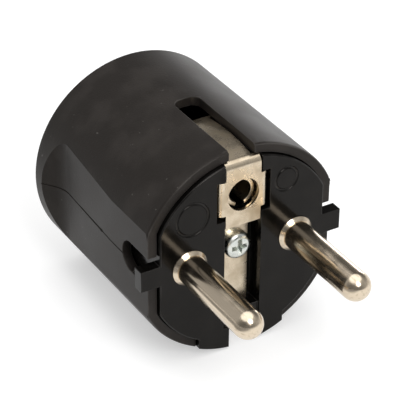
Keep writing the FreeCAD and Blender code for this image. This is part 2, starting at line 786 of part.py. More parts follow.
def make_centre_screw():
    """The centre screw: holds the strap and the carrier, driven by a cross recess."""
    body = new_body("centre_screw")
    screw_profile(
        body,
        size.screw_head_diameter,
        size.screw_head_height,
        size.screw_diameter,
        size.screw_length,
    )

    def top_edge(edge):
        return edge.BoundBox.ZMin > size.screw_head_height.value - size.press_gap.value
    dress(body, "Chamfer", "Size", size.screw_head_edge, top_edge)
    arms = [(size.recess_width, size.recess_length), (size.recess_length, size.recess_width)]
    screw_slots(body, arms, size.screw_head_height)
    body.Placement.Rotation = FreeCAD.Rotation(FreeCAD.Vector(1, 0, 0), 90)
    put(body, y=size.strap_depth)
    return body


def make_threaded_bush():
    """The threaded bush in the hood's boss, a turned brass ring."""
    body = new_body("threaded_bush")
    ends = face_sketch(body, "bush_section")
    ring(ends, bush_radius)
    ring(ends, size.screw_diameter / 2 + size.thread_gap)
    pad(body, ends, size.bush_length, backwards=True)
    put(body, y=size.boss_front)
    return body


def make_terminal_block(label, side):
    """A brass terminal block: the pin's tail is pressed in its front, the conductor goes in its back."""
    body = new_body(label)
    half = size.block_width / 2
    block = face_sketch(body, label + "_section")
    box(block, -half, half, -size.block_bottom, size.block_top)
    pad(body, block, size.block_length, backwards=True)

    def long_edge(edge):
        return edge.BoundBox.YLength > size.block_length.value / 2
    dress(body, "Chamfer", "Size", size.block_edge, long_edge)
    seat = face_sketch(body, label + "_seat")
    ring(seat, size.pin_diameter / 2 + size.press_gap)
    cut(body, seat, size.pin_tail_length + size.press_gap)
    entry = face_sketch(body, label + "_entry", size.block_length)
    ring(entry, size.conductor_hole / 2)
    cut(body, entry, size.block_length - size.pin_tail_length - size.block_floor, backwards=True)
    tapped = plan_sketch(body, label + "_tapped", size.block_top)
    radius = size.terminal_screw_diameter / 2 + size.thread_gap
    ring(tapped, radius, 0, size.block_length - size.terminal_screw_back)
    cut(body, tapped, size.block_top)
    put(body, x=half_spacing * side, y=carrier_depth)
    return body


def make_terminal_screw(label, side):
    """A terminal screw in the top of its block."""
    body = make_slotted_screw(
        label,
        size.terminal_head_diameter,
        size.terminal_head_height,
        size.terminal_screw_diameter,
        size.block_top - size.terminal_screw_stop,
    )
    back = carrier_depth + size.block_length - size.terminal_screw_back
    put(body, half_spacing * side, back, size.block_top)
    return body


def make_earth_washer():
    """The earth terminal's square washer, with two lips that keep the conductor under it."""
    body = new_body("earth_terminal_washer")
    half = size.washer_size / 2
    plan = plan_sketch(body, "washer_section", -half)
    lip = size.sheet
    outline(plan, [
        (-half, 0),
        (half, 0),
        (half, size.washer_thickness + size.washer_lip),
        (half - lip, size.washer_thickness + size.washer_lip),
        (half - lip, size.washer_thickness),
        (lip - half, size.washer_thickness),
        (lip - half, size.washer_thickness + size.washer_lip),
        (-half, size.washer_thickness + size.washer_lip),
    ])
    pad(body, plan, size.washer_size)
    hole = face_sketch(body, "washer_hole", -size.overrun)
    ring(hole, size.terminal_screw_diameter / 2 + size.screw_gap)
    cut(body, hole, size.washer_thickness + size.overrun * 2)
    put(body, y=tower_end + size.sheet, z=earth_screw_height)
    return body


def make_earth_screw():
    """The earth terminal's screw, driven from the back through the washer and the contact's tab."""
    body = make_slotted_screw(
        "earth_terminal_screw",
        size.terminal_head_diameter - size.sheet,
        size.terminal_head_height,
        size.terminal_screw_diameter,
        size.earth_screw_length,
    )
    body.Placement.Rotation = FreeCAD.Rotation(FreeCAD.Vector(1, 0, 0), -90)
    put(body, y=tower_end + size.sheet + size.washer_thickness, z=earth_screw_height)
    return body


def make_cord_clamp():
    """The cord clamp: a moulded bar with a hollow for the cord's sheath."""
    body = new_body("cord_clamp")
    spread = size.clamp_spread / 2
    half = size.clamp_width / 2
    plan = plan_sketch(body, "clamp_plan")
    reach = spread + half
    box(plan, -reach, reach, -half, half)
    pad(body, plan, size.clamp_thickness)
    hollow = face_sketch(body, "clamp_hollow", -half)
    saddle_middle = size.clamp_saddle_depth - size.clamp_saddle
    ring(hollow, size.clamp_saddle, 0, saddle_middle)
    cut(body, hollow, size.clamp_width)
    holes = plan_sketch(body, "clamp_holes", size.clamp_thickness)
    for side in (1, -1):
        ring(holes, size.clamp_screw_diameter / 2 + size.screw_gap, spread * side, 0)
    cut(body, holes, size.clamp_thickness)
    put(body, y=size.clamp_back, z=clamp_under)
    return body


def make_clamp_screw(label, side):
    """A cord clamp screw, driven down into the carrier's post."""
    body = make_slotted_screw(
        label,
        size.clamp_head_diameter,
        size.clamp_head_height,
        size.clamp_screw_diameter,
        size.clamp_screw_length,
    )
    put(body, size.clamp_spread / 2 * side, size.clamp_back, clamp_top)
    return body


def make_parts():
    """Build every piece of the plug."""
    parts = [
        make_hood(),
        make_pin_carrier(),
        make_earth_contact(),
        make_earth_strap(),
        make_centre_screw(),
        make_threaded_bush(),
        make_earth_washer(),
        make_earth_screw(),
        make_cord_clamp(),
    ]
    for name, side in (("left", -1), ("right", 1)):
        parts.append(make_pin("pin_" + name, side))
        parts.append(make_terminal_block("terminal_block_" + name, side))
        parts.append(make_terminal_screw("terminal_screw_" + name, side))
        parts.append(make_clamp_screw("cord_clamp_screw_" + name, side))
    return parts


def check(parts):
    """Stop if any feature failed or any piece is empty or broken."""
    doc.recompute()
    for item in doc.Objects:
        if "Invalid" in item.State or "Error" in item.State:
            raise RuntimeError("%s failed: %s" % (item.Name, item.State))
    for part in parts:
        if part.Shape.isNull() or not part.Shape.isValid() or len(part.Shape.Solids) != 1:
            raise RuntimeError("%s has no sound solid" % part.Label)


def write(parts):
    """Write each piece to a file of its own name."""
    os.makedirs("parts", exist_ok=True)
    for part in parts:
        part.Shape.exportStep("parts/%s.step" % part.Label)


pieces = make_parts()
check(pieces)
write(pieces)
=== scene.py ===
import math

import bmesh
import bpy
from mathutils import Matrix, Vector


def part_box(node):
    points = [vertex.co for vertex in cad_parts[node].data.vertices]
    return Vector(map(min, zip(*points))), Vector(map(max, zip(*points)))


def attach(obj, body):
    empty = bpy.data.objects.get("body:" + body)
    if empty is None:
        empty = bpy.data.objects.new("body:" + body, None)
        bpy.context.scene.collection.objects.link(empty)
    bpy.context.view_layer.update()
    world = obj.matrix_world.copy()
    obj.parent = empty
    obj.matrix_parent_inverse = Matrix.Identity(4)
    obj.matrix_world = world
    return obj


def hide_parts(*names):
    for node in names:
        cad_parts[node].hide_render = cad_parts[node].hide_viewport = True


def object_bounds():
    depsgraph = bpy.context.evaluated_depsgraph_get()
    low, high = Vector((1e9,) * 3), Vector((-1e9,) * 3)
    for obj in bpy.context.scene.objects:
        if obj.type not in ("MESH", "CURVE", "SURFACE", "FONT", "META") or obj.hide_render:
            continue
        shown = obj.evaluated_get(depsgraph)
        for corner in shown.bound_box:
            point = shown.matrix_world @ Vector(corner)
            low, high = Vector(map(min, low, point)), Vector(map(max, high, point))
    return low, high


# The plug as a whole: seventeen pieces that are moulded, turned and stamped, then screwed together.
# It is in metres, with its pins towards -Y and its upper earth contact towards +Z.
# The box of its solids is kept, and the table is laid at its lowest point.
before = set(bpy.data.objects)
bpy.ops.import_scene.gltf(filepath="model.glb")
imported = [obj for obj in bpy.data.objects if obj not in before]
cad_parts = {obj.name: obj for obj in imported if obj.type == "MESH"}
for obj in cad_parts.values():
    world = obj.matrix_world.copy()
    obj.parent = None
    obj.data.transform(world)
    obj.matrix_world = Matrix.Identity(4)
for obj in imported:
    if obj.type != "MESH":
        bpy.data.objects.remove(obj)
solid_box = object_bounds()

# The hood: the black outer moulding that is gripped by hand, held by the centre screw.
# It is thermoplastic from a mould in two halves, whose joint leaves a line along both flats.
# The outside has a fine eroded grain, rubbed in patches by handling, with pale specks.
# Its rounded edges are paler, partly as wear and partly as a painted highlight.
HOOD_DARK = (0.018, 0.0153, 0.0136, 1.0)
HOOD_RUBBED = (0.028, 0.0242, 0.0218, 1.0)
# The pale colour of the specks and of the edges, which are partly wear and partly a painted highlight.
HOOD_SPECKS_EDGE_WEAR_AND_SHEEN = (0.11, 0.103, 0.096, 1.0)
PLASTIC_GLOSS = (1.0, 0.94, 0.88, 1.0)
HOOD_SPECULAR = 0.16
HOOD_ROUGHNESS = (0.4, 0.46)
HANDLING_PATTERN = {"scale": 160.0, "detail": 5.0}
SPECK_PATTERN = {"scale": 1300.0, "detail": 1.0}
HOOD_GRAIN_PATTERN = {"scale": 3600.0, "detail": 3.0}
HOOD_GRAIN_DEPTH = 0.00002

# The part of a pattern's range over which a change comes in, and the shares that it goes between.
RUBBED_BETWEEN = (0.42, 0.68)
SPECKED_BETWEEN = (0.75, 0.79)
EDGE_WEAR_AND_SHEEN_BETWEEN = (0.4, 0.6)
GLOSS_BETWEEN = (0.35, 0.7)
SPECK_SHARES = (0.0, 0.5)
HOOD_EDGE_WEAR_AND_SHEEN_SHARES = (0.1, 0.35)

# Edges past the first angle are rounded, and past the others they are shaded as sharp, in degrees.
ROUNDED_FROM = 43.5
SHARP_FROM = 40
HOOD_SHARP_FROM = 24
HOOD_EDGE = 0.00014
EDGE_STEPS = 3
ROUNDED_SLOT = 1
JOINED_WITHIN = 0.000001
FLAT_WITHIN = math.radians(0.2)
SLIVER = 0.000002

RIM_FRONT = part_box("hood")[0][1]
RIM_BEVELLED = 0.0175
RIM_CRISP = 0.01785
RIM_TOLERANCE = 0.00002
FLAT_REACH = 0.0163
GRIP_START = 0.012
GRIP_BOTTOM = 0.0156
FOLD_DEPTH = 0.0294
FOLD_BLEND = 0.0016
RIDGE_ANGLE = math.radians(36)

JOINT_DEPTH = 0.00022
JOINT_OUT = 0.0003

# The mould's joint line goes through these depths behind the face, each with half its width there.
JOINT_STATIONS = [
    (0.008, 0.00013),
    (0.012, 0.00013),
    (0.0152, 0.00014),
    (0.0156, 0.0003),
    (0.016, 0.0003),
    (0.0164, 0.0002),
    (0.0228, 0.00019),
    (0.0234, 0.00013),
    (0.0278, 0.00013),
    (0.0285, 0.00013),
    (0.0292, 0.00013),
    (0.0299, 0.00013),
    (0.0307, 0.00013),
    (0.0334, 0.00013),
]


def flat_at(depth):
    """Return how far the hood's flat, and the wall that ends it, reach sideways at this depth."""
    blend_start = FOLD_DEPTH - FOLD_BLEND
    if depth < GRIP_START:
        return FLAT_REACH
    if depth < blend_start:
        share = (depth - GRIP_START) / (blend_start - GRIP_START)
        return FLAT_REACH + (GRIP_BOTTOM - FLAT_REACH) * share
    if depth < FOLD_DEPTH + FOLD_BLEND * math.cos(RIDGE_ANGLE):
        radius = FOLD_BLEND / math.tan(RIDGE_ANGLE / 2)
        return GRIP_BOTTOM + radius - math.sqrt(radius ** 2 - (depth - blend_start) ** 2)
    return GRIP_BOTTOM + (depth - FOLD_DEPTH) * math.tan(RIDGE_ANGLE)


def put_in_scene(name, data):
    """Return a new object of the scene with this mesh, lamp or camera."""
    thing = bpy.data.objects.new(name, data)
    bpy.context.scene.collection.objects.link(thing)
    return thing


def face_outwards(mesh):
    """Turn the faces of a closed mesh outwards."""
    shape = bmesh.new()
    shape.from_mesh(mesh)
    bmesh.ops.recalc_face_normals(shape, faces=shape.faces)
    shape.to_mesh(mesh)
    shape.free()


def cutter_through(name, sections):
    """Return a closed solid through these sections, which all have the same number of corners."""
    count = len(sections[0])
    corners = [corner for section in sections for corner in section]
    faces = [tuple(range(count))]
    for first in range(0, len(corners) - count, count):
        beyond = first + count
        for corner in range(count):
            following = (corner + 1) % count
            faces.append((first + corner, first + following, beyond + following, beyond + corner))
    faces.append(tuple(range(len(corners) - count, len(corners))))
    mesh = bpy.data.meshes.new(name)
    mesh.from_pydata(corners, [], faces)
    face_outwards(mesh)
    return put_in_scene(name, mesh)


def joint_cutter(side):
    """Return the wedge that cuts the mould's joint line along one flat."""
    sections = []
    for depth, half_width in JOINT_STATIONS:
        inner = (flat_at(depth) - JOINT_DEPTH) * side
        outer = (flat_at(depth) + JOINT_OUT) * side
        spread = half_width * (JOINT_DEPTH + JOINT_OUT) / JOINT_DEPTH
        sections.append([(inner, depth, 0.0), (outer, depth, spread), (outer, depth, -spread)])
    return cutter_through("joint_cutter", sections)


def crisp_rim(point):
    """Draw the corner of the hood's rim outwards, so that its bevel is narrower in front."""
    from_ring = abs(math.hypot(point.x, point.z) - RIM_BEVELLED)
    if point.y - RIM_FRONT > RIM_TOLERANCE or from_ring > RIM_TOLERANCE:
        return point
    height = math.sqrt(RIM_CRISP ** 2 - point.x ** 2)
    return Vector((point.x, point.y, math.copysign(height, point.z)))


def settle(piece):
    """Turn what a piece's modifiers make of it into its own mesh."""
    seen = piece.evaluated_get(bpy.context.evaluated_depsgraph_get())
    piece.data = bpy.data.meshes.new_from_object(seen)
    piece.modifiers.clear()


def carve(piece, cutters):
    """Take the cutters out of a piece."""
    for cutter in cutters:
        removal = piece.modifiers.new("cut", "BOOLEAN")
        removal.operation = "DIFFERENCE"
        removal.solver = "EXACT"
        removal.object = cutter
    settle(piece)
    for cutter in cutters:
        bpy.data.objects.remove(cutter)


def shade(piece, sharp_from):
    """Clear a piece of slivers, then shade it smoothly between its sharp edges.

    The larger faces lead the shading, so that they stay even.
    """
    shape = bmesh.new()
    shape.from_mesh(piece.data)
    bmesh.ops.dissolve_degenerate(shape, dist=SLIVER, edges=shape.edges)
    for face in shape.faces:
        face.smooth = True
    for edge in shape.edges:
        edge.smooth = math.degrees(edge.calc_face_angle(0.0)) < sharp_from
    shape.to_mesh(piece.data)
    shape.free()
    shading = piece.modifiers.new("shading", "WEIGHTED_NORMAL")
    shading.keep_sharp = True
    settle(piece)


def softened(node, edge_width, cutters=(), sharp_from=SHARP_FROM, reshape=None):
    """Copy a node with its triangles joined and its sharp edges rounded and marked, for paler paint that
    is partly wear and partly a painted highlight.

    The edges that the cutters leave stay as cut. Where a reshape is given, it moves the points first.
    """
    shape = bmesh.new()
    shape.from_mesh(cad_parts[node].data)
    bmesh.ops.remove_doubles(shape, verts=shape.verts, dist=JOINED_WITHIN)
    bmesh.ops.dissolve_limit(shape, angle_limit=FLAT_WITHIN, verts=shape.verts, edges=shape.edges)
    if reshape:
        for corner in shape.verts:
            corner.co = reshape(corner.co)
        shape.normal_update()
    rounding_share = shape.edges.layers.float.new("bevel_weight_edge")
    for edge in shape.edges:
        edge[rounding_share] = float(math.degrees(edge.calc_face_angle(0.0)) > ROUNDED_FROM)
    mesh = bpy.data.meshes.new(node + "_joined")
    shape.to_mesh(mesh)
    shape.free()
    mesh.materials.append(bpy.data.materials.new(node + "_broad"))
    mesh.materials.append(bpy.data.materials.new(node + "_rounded"))
    piece = put_in_scene(node + "_finished", mesh)
    carve(piece, cutters)
    rounding = piece.modifiers.new("edges", "BEVEL")
    rounding.width = edge_width
    rounding.segments = EDGE_STEPS
    rounding.limit_method = "WEIGHT"
    rounding.use_clamp_overlap = False
    rounding.material = ROUNDED_SLOT
    settle(piece)
    rounded = [float(face.material_index == ROUNDED_SLOT) for face in piece.data.polygons]
    piece.data.attributes.new("rounded_edge", "FLOAT", "FACE").data.foreach_set("value", rounded)
    piece.data.polygons.foreach_set("material_index", [0] * len(rounded))
    shade(piece, sharp_from)
    return piece


def add_node(tree, kind, inputs, **settings):
    """Add a node to a tree. An input is a plain value or the output of another node."""
    node = tree.nodes.new(kind)
    for name, value in settings.items():
        setattr(node, name, value)
    for name, value in inputs.items():
        if isinstance(value, bpy.types.NodeSocket):
            tree.links.new(value, node.inputs[name])
        else:
            node.inputs[name].default_value = value
    return node


def reckoned(tree, operation, first, second=0.0):
    """Return the result of one step of arithmetic."""
    return add_node(tree, "ShaderNodeMath", {0: first, 1: second}, operation=operation).outputs["Value"]


def surface_of(tree):
    """Return the surface shader of a finish."""
    return tree.nodes["Principled BSDF"]


def new_finish(name, constants):
    """Start a finish. These inputs of its surface shader are the same all over the piece."""
    finish = bpy.data.materials.new(name)
    finish.use_nodes = True
    for input_name, value in constants.items():
        surface_of(finish.node_tree).inputs[input_name].default_value = value
    return finish


def use(tree, name, output):
    """Feed an input of a finish's surface shader."""
    tree.links.new(output, surface_of(tree).inputs[name])


def speckle(tree, scale, detail, stretch=(1.0, 1.0, 1.0)):
    """Return soft noise over the piece, drawn out along the axes whose stretch is small."""
    place = add_node(tree, "ShaderNodeTexCoord", {}).outputs["Object"]
    spread = add_node(tree, "ShaderNodeMapping", {"Vector": place, "Scale": stretch})
    inputs = {"Vector": spread.outputs["Vector"], "Scale": scale, "Detail": detail}
    return add_node(tree, "ShaderNodeTexNoise", inputs).outputs["Fac"]


def graded(tree, value, limits, results=(0.0, 1.0)):
    """Return a number that goes smoothly between the results while the value goes between the limits."""
    inputs = {
        "Value": value,
        "From Min": limits[0],
        "From Max": limits[1],
        "To Min": results[0],
        "To Max": results[1],
    }
    return add_node(tree, "ShaderNodeMapRange", inputs, interpolation_type="SMOOTHSTEP").outputs["Result"]


# A Mix node's sockets for numbers, vectors and colours share their names, so they go by number.
MIX_SHARE = 0
MIX_FIRST_COLOUR = 6
MIX_SECOND_COLOUR = 7
MIX_RESULT_COLOUR = 2


def tinted(tree, share, first, second):
    """Return a colour that goes from the first to the second as the share goes from 0 to 1."""
    inputs = {MIX_SHARE: share, MIX_FIRST_COLOUR: first, MIX_SECOND_COLOUR: second}
    return add_node(tree, "ShaderNodeMix", inputs, data_type="RGBA").outputs[MIX_RESULT_COLOUR]


def mottled(tree, pattern, limits, first, second):
    """Return a colour that goes between two colours while a pattern goes between its limits."""
    return tinted(tree, graded(tree, pattern, limits), first, second)


def edge_wear_and_sheen(tree, pattern, shares):
    """Return the share of paler paint on a piece's rounded edges, partly wear and partly a painted
    highlight. It follows a pattern, and is 0 elsewhere.
    """
    rounded = add_node(tree, "ShaderNodeAttribute", {}, attribute_name="rounded_edge").outputs["Fac"]
    return reckoned(tree, "MULTIPLY", rounded, graded(tree, pattern, EDGE_WEAR_AND_SHEEN_BETWEEN, shares))


def relief(tree, height, depth):
    """Raise the surface by a height between 0 and 1 times this depth, on top of any earlier relief."""
    normal = surface_of(tree).inputs["Normal"]
    inputs = {"Height": height, "Distance": depth, "Strength": 1.0}
    if normal.is_linked:
        inputs["Normal"] = normal.links[0].from_socket
    bump = add_node(tree, "ShaderNodeBump", inputs)
    use(tree, "Normal", bump.outputs["Normal"])


def fit_piece(piece, finish, node):
    """Give a piece its finish and let it stand for a node."""
    piece.data.materials.clear()
    piece.data.materials.append(finish)
    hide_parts(node)
    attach(piece, "root")


hood_finish = new_finish(
    "hood_grained_black",
    {"Specular IOR Level": HOOD_SPECULAR, "Specular Tint": PLASTIC_GLOSS},
)
hood_nodes = hood_finish.node_tree
handling = speckle(hood_nodes, **HANDLING_PATTERN)
specks = graded(hood_nodes, speckle(hood_nodes, **SPECK_PATTERN), SPECKED_BETWEEN, SPECK_SHARES)
# Pale specks, and rounded edges painted paler, partly as wear and partly as a painted highlight.
hood_edge_wear_and_sheen = edge_wear_and_sheen(hood_nodes, handling, HOOD_EDGE_WEAR_AND_SHEEN_SHARES)
specks_edge_wear_and_sheen = reckoned(hood_nodes, "MAXIMUM", specks, hood_edge_wear_and_sheen)
hood_colour = mottled(hood_nodes, handling, RUBBED_BETWEEN, HOOD_DARK, HOOD_RUBBED)
use(hood_nodes, "Base Color", tinted(hood_nodes, specks_edge_wear_and_sheen, hood_colour, HOOD_SPECKS_EDGE_WEAR_AND_SHEEN))
use(hood_nodes, "Roughness", graded(hood_nodes, handling, GLOSS_BETWEEN, HOOD_ROUGHNESS))
relief(hood_nodes, speckle(hood_nodes, **HOOD_GRAIN_PATTERN), HOOD_GRAIN_DEPTH)
hood_cutters = [joint_cutter(1), joint_cutter(-1)]
hood = softened("hood", HOOD_EDGE, hood_cutters, HOOD_SHARP_FROM, crisp_rim)
fit_piece(hood, hood_finish, "hood")

# The pin carrier: the moulded insert that holds the pins, the earth contacts and the terminals.
# It is a hard black thermoset, smoother than the hood, pushed into the hood's mouth with its key
# tabs in the hood's notches. The mould leaves two shallow rings on its face.
CARRIER_DARK = (0.002, 0.0018, 0.0016, 1.0)
CARRIER_DULL = (0.005, 0.0045, 0.0041, 1.0)
# The pale colour goes on the rounded edges, partly as wear and partly as a painted highlight.
CARRIER_PALE = (0.03, 0.0285, 0.027, 1.0)
CARRIER_SPECULAR = 0.17
CARRIER_ROUGHNESS = (0.12, 0.2)
CARRIER_FLOW_PATTERN = {"scale": 260.0, "detail": 4.0}
CARRIER_GRAIN_PATTERN = {"scale": 1800.0, "detail": 3.0}
CARRIER_GRAIN_DEPTH = 0.000006
CARRIER_EDGE_WEAR_AND_SHEEN_SHARES = (0.1, 0.5)
DULLED_BETWEEN = (0.4, 0.7)
CARRIER_EDGE = 0.00009

# Each ring mark: how far its middle lies to the right and up, and its radius.
RING_MARKS = [(-0.009, 0.0084, 0.00275), (0.0076, 0.0105, 0.00195)]
RING_TUBE = 0.0003
RING_OUT = 0.00006
RING_SIDES = 10
TURN_STEPS = 72

# The lathe is a tree that turns a profile, points of radius and depth, round an axis along Y.
LATHE_INPUTS = [
    ("Geometry", "NodeSocketGeometry"),
    ("Profile Points", "NodeSocketInt"),
    ("Steps Around", "NodeSocketInt"),
    ("Sideways", "NodeSocketFloat"),
    ("Upwards", "NodeSocketFloat"),
    ("Finish", "NodeSocketMaterial"),
]

lathe = bpy.data.node_groups.new("lathe", "GeometryNodeTree")
lathe_sockets = {}
for socket_name, socket_kind in LATHE_INPUTS:
    socket = lathe.interface.new_socket(socket_name, in_out="INPUT", socket_type=socket_kind)
    lathe_sockets[socket_name] = socket.identifier
lathe.interface.new_socket("Geometry", in_out="OUTPUT", socket_type="NodeSocketGeometry")
given = add_node(lathe, "NodeGroupInput", {}).outputs
columns = reckoned(lathe, "ADD", given["Steps Around"], 1.0)
skin = add_node(
    lathe,
    "GeometryNodeMeshGrid",
    {"Vertices X": given["Profile Points"], "Vertices Y": columns},
)
index = add_node(lathe, "GeometryNodeInputIndex", {}).outputs["Index"]
row = reckoned(lathe, "FLOOR", reckoned(lathe, "DIVIDE", index, columns))
column = reckoned(lathe, "SUBTRACT", index, reckoned(lathe, "MULTIPLY", row, columns))
angle = reckoned(lathe, "DIVIDE", reckoned(lathe, "MULTIPLY", column, math.tau), given["Steps Around"])
position = add_node(lathe, "GeometryNodeInputPosition", {}).outputs["Position"]
profile_point = add_node(
    lathe,
    "GeometryNodeSampleIndex",
    {"Geometry": given["Geometry"], "Value": position, "Index": row},
    data_type="FLOAT_VECTOR",
).outputs["Value"]
profile_axes = add_node(lathe, "ShaderNodeSeparateXYZ", {"Vector": profile_point}).outputs
across = reckoned(lathe, "MULTIPLY", profile_axes["X"], reckoned(lathe, "COSINE", angle))
across = reckoned(lathe, "ADD", across, given["Sideways"])
upwards = reckoned(lathe, "MULTIPLY", profile_axes["X"], reckoned(lathe, "SINE", angle))
upwards = reckoned(lathe, "ADD", upwards, given["Upwards"])
around = add_node(lathe, "ShaderNodeCombineXYZ", {"X": across, "Y": profile_axes["Y"], "Z": upwards})
shaped = add_node(
    lathe,
    "GeometryNodeSetPosition",
    {"Geometry": skin.outputs["Mesh"], "Position": around.outputs["Vector"]},
)
closed = add_node(
    lathe,
    "GeometryNodeMergeByDistance",
    {"Geometry": shaped.outputs["Geometry"], "Distance": JOINED_WITHIN},
)
realized = add_node(lathe, "GeometryNodeRealizeInstances", {"Geometry": closed.outputs["Geometry"]})
coated = add_node(
    lathe,
    "GeometryNodeSetMaterial",
    {"Geometry": realized.outputs["Geometry"], "Material": given["Finish"]},
)
add_node(lathe, "NodeGroupOutput", {"Geometry": coated.outputs["Geometry"]})


def turned(name, profile, sideways, upwards, finish):
    """Return a piece turned on the lathe, its axis moved this far sideways and upwards."""
    line = bpy.data.meshes.new(name + "_profile")
    line.from_pydata([(radius, depth, 0.0) for radius, depth in profile], [], [])
    piece = put_in_scene(name, line)
    turning = piece.modifiers.new("turning", "NODES")
    turning.node_group = lathe
    turning[lathe_sockets["Profile Points"]] = len(profile)
    turning[lathe_sockets["Steps Around"]] = TURN_STEPS
    turning[lathe_sockets["Sideways"]] = sideways
    turning[lathe_sockets["Upwards"]] = upwards
    turning[lathe_sockets["Finish"]] = finish
    settle(piece)
    face_outwards(piece.data)
    return piece


def ring_cutter(sideways, upwards, radius, finish):
    """Return the ring that presses a mould mark into the carrier's face."""
    section = []
    for side in range(RING_SIDES + 1):
        side_angle = math.tau * side / RING_SIDES
        outwards = RING_TUBE * math.cos(side_angle)
        inwards = RING_TUBE * math.sin(side_angle)
        section.append((radius + outwards, inwards - RING_OUT))
    return turned("ring_cutter", section, sideways, upwards, finish)


carrier_finish = new_finish(
    "carrier_smooth_black",
    {"Specular IOR Level": CARRIER_SPECULAR, "Specular Tint": PLASTIC_GLOSS},
)
carrier_nodes = carrier_finish.node_tree
flow = speckle(carrier_nodes, **CARRIER_FLOW_PATTERN)
carrier_colour = mottled(carrier_nodes, flow, DULLED_BETWEEN, CARRIER_DARK, CARRIER_DULL)
# The rounded edges are painted paler, partly as wear and partly as a painted highlight.
carrier_edge_wear_and_sheen = edge_wear_and_sheen(carrier_nodes, flow, CARRIER_EDGE_WEAR_AND_SHEEN_SHARES)
use(carrier_nodes, "Base Color", tinted(carrier_nodes, carrier_edge_wear_and_sheen, carrier_colour, CARRIER_PALE))
use(carrier_nodes, "Roughness", graded(carrier_nodes, flow, GLOSS_BETWEEN, CARRIER_ROUGHNESS))
relief(carrier_nodes, speckle(carrier_nodes, **CARRIER_GRAIN_PATTERN), CARRIER_GRAIN_DEPTH)
carrier_cutters = [ring_cutter(x, z, radius, carrier_finish) for x, z, radius in RING_MARKS]
carrier = softened("pin_carrier", CARRIER_EDGE, carrier_cutters)
fit_piece(carrier, carrier_finish, "pin_carrier")

# The two line pins: turned from brass rod, with a round end and a flared collar at the carrier.
# They are nickel plated and polished. Going in and out of sockets has drawn faint lines along them,
# over the finer lines that the lathe left around them.
NICKEL_BRIGHT = (0.645, 0.55, 0.425, 1.0)
NICKEL_WORN = (0.49, 0.4, 0.295, 1.0)
PIN_ROUGHNESS = (0.13, 0.26)
PIN_CLOUD_PATTERN = {"scale": 300.0, "detail": 4.0}
DRAWN_PATTERN = {"scale": 2200.0, "detail": 3.0, "stretch": (1.0, 0.02, 1.0)}
DRAWN_DEPTH = 0.000003
LATHE_PATTERN = {"scale": 3000.0, "detail": 2.0, "stretch": (0.01, 1.0, 0.01)}
LATHE_DEPTH = 0.000002
DRAWN_BETWEEN = (0.5, 0.75)
METAL_GLOSS_BETWEEN = (0.3, 0.7)
PIN_SHARP_FROM = 35
PIN_SIDES = [("pin_left", -1), ("pin_right", 1)]
PIN_RADIUS = 0.0024
PIN_LENGTH = 0.019
PIN_SPACING = 0.019
PIN_COLLAR_RADIUS = 0.003
PIN_COLLAR_THICKNESS = 0.0007
PIN_COLLAR_STEP = 0.0001
PIN_COLLAR_RIM = 0.0002
PIN_TAIL_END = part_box("pin_left")[1][1]
DOME_STEPS = 16


def quarter_round(steps):
    """Return the sine and cosine at even steps through a quarter turn."""
    angles = [math.pi / 2 * step / steps for step in range(steps + 1)]
    return [(math.sin(angle), math.cos(angle)) for angle in angles]


pin_profile = []
for sine, cosine in quarter_round(DOME_STEPS):
    pin_profile.append((PIN_RADIUS * sine, PIN_RADIUS * (1 - cosine) - PIN_LENGTH))
pin_profile += [
    (PIN_RADIUS, -PIN_COLLAR_THICKNESS),
    (PIN_RADIUS + PIN_COLLAR_STEP, -PIN_COLLAR_THICKNESS),
    (PIN_COLLAR_RADIUS, -PIN_COLLAR_RIM),
    (PIN_COLLAR_RADIUS, 0.0),
    (PIN_RADIUS, 0.0),
    (PIN_RADIUS, PIN_TAIL_END),
    (0.0, PIN_TAIL_END),
]

pin_finish = new_finish("pin_polished_nickel", {"Metallic": 1.0})
pin_nodes = pin_finish.node_tree
drawn = speckle(pin_nodes, **DRAWN_PATTERN)
clouded = speckle(pin_nodes, **PIN_CLOUD_PATTERN)
use(pin_nodes, "Base Color", mottled(pin_nodes, drawn, DRAWN_BETWEEN, NICKEL_BRIGHT, NICKEL_WORN))
use(pin_nodes, "Roughness", graded(pin_nodes, clouded, METAL_GLOSS_BETWEEN, PIN_ROUGHNESS))
relief(pin_nodes, speckle(pin_nodes, **LATHE_PATTERN), LATHE_DEPTH)
relief(pin_nodes, drawn, DRAWN_DEPTH)

for pin_node, pin_side in PIN_SIDES:
    pin = turned(pin_node + "_finished", pin_profile, PIN_SPACING / 2 * pin_side, 0.0, pin_finish)
    shade(pin, PIN_SHARP_FROM)
    fit_piece(pin, pin_finish, pin_node)

# The earth contact and the earth strap: each is stamped from brass sheet and folded, the contact
# with ears curled round to the jaws of the earth socket. Both are nickel plated to a satin finish
# with the sheet's rolling lines, and their sheared edges show more of the brass.
SHEET_PALE = (0.6, 0.512, 0.388, 1.0)
SHEET_DEEP = (0.48, 0.397, 0.286, 1.0)
SHEARED_BRASS = (0.66, 0.52, 0.3, 1.0)
SHEET_ROUGHNESS = (0.22, 0.34)
STAIN_PATTERN = {"scale": 420.0, "detail": 4.0}
ROLLED_PATTERN = {"scale": 2600.0, "detail": 4.0, "stretch": (1.0, 0.03, 0.03)}
ROLLED_DEPTH = 0.000002
STAINED_BETWEEN = (0.38, 0.68)
SHEARED_BETWEEN = (0.6, 0.95)
SHEARED_SHARES = (0.0, 0.6)
SHEET_EDGE = 0.00005
SOCKET_HEIGHT = 0.01
PLATE_BACK = 0.0008
JAW_FRONT = 0.0012
JAW_OUTSIDE = 0.0032
EAR_REACH = 0.0045
JAW_SPRING = 0.8


def way_along(value, start, end):
    """Return how far a value has come on its way from start to end, from 0 to 1."""
    return min(max((value - start) / (end - start), 0.0), 1.0)


def sprung(point):
    """Draw a point of the jaws towards the socket's axis, as they close when no pin is in."""
    rise = point.z - SOCKET_HEIGHT
    behind = way_along(point.y, PLATE_BACK, JAW_FRONT)
    near = way_along(math.hypot(point.x, rise), EAR_REACH, JAW_OUTSIDE)
    closing = 1.0 - (1.0 - JAW_SPRING) * behind * near
    return Vector((point.x * closing, point.y, SOCKET_HEIGHT + rise * closing))


